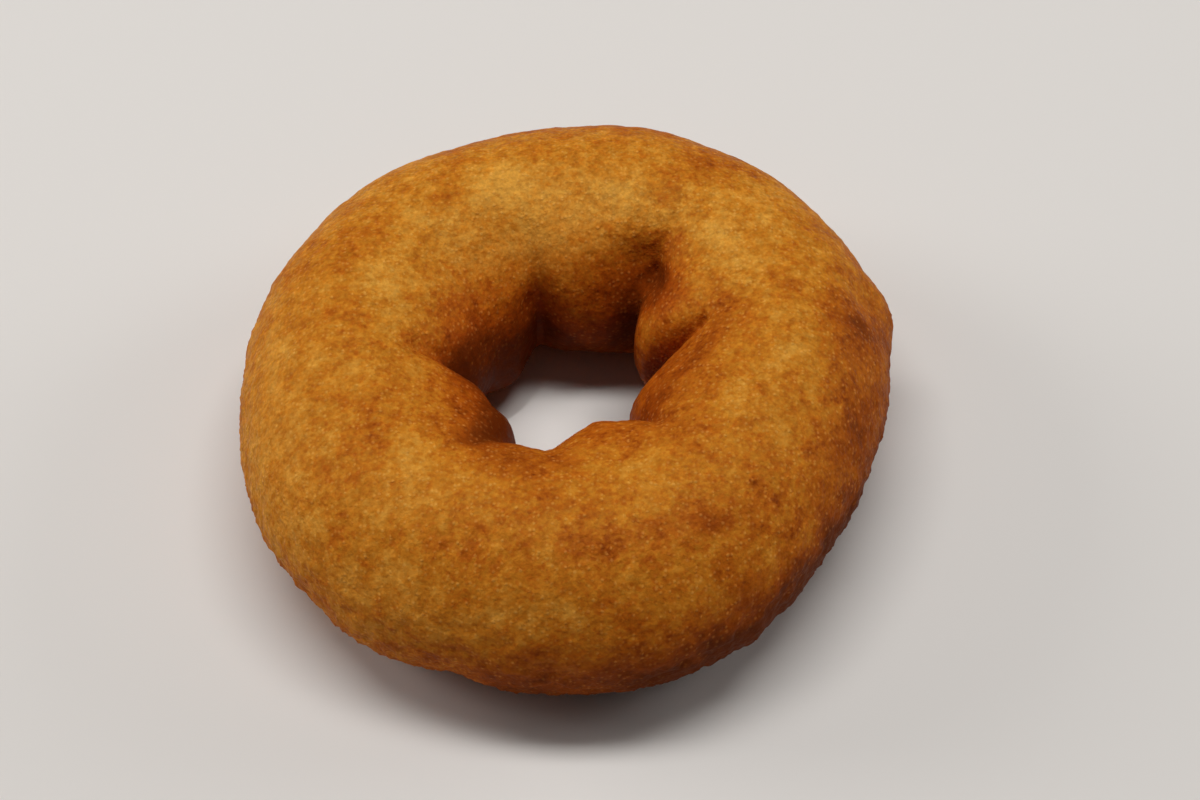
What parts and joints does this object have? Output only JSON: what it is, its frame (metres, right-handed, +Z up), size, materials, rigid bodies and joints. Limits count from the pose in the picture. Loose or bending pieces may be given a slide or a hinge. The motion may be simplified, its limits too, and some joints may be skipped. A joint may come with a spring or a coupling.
{
  "type": "cake doughnut",
  "caption": "Plain golden-brown cake doughnut: a plump fried ring with soft lobes folded together round its hole.",
  "frame": {"origin": "on the resting plane, under the middle of the ring's box", "axes": "+Z up, through the hole; +X to the right in the picture; +Y away from the picture's viewer"},
  "size_m": [0.0876, 0.0888, 0.0284],
  "materials": {
    "fried_crust": "dull golden-brown fried crust with a fine grain and a faint sheen"
  },
  "bodies": {
    "root": {"doughnut": "fried_crust"}
  },
  "joints": []
}
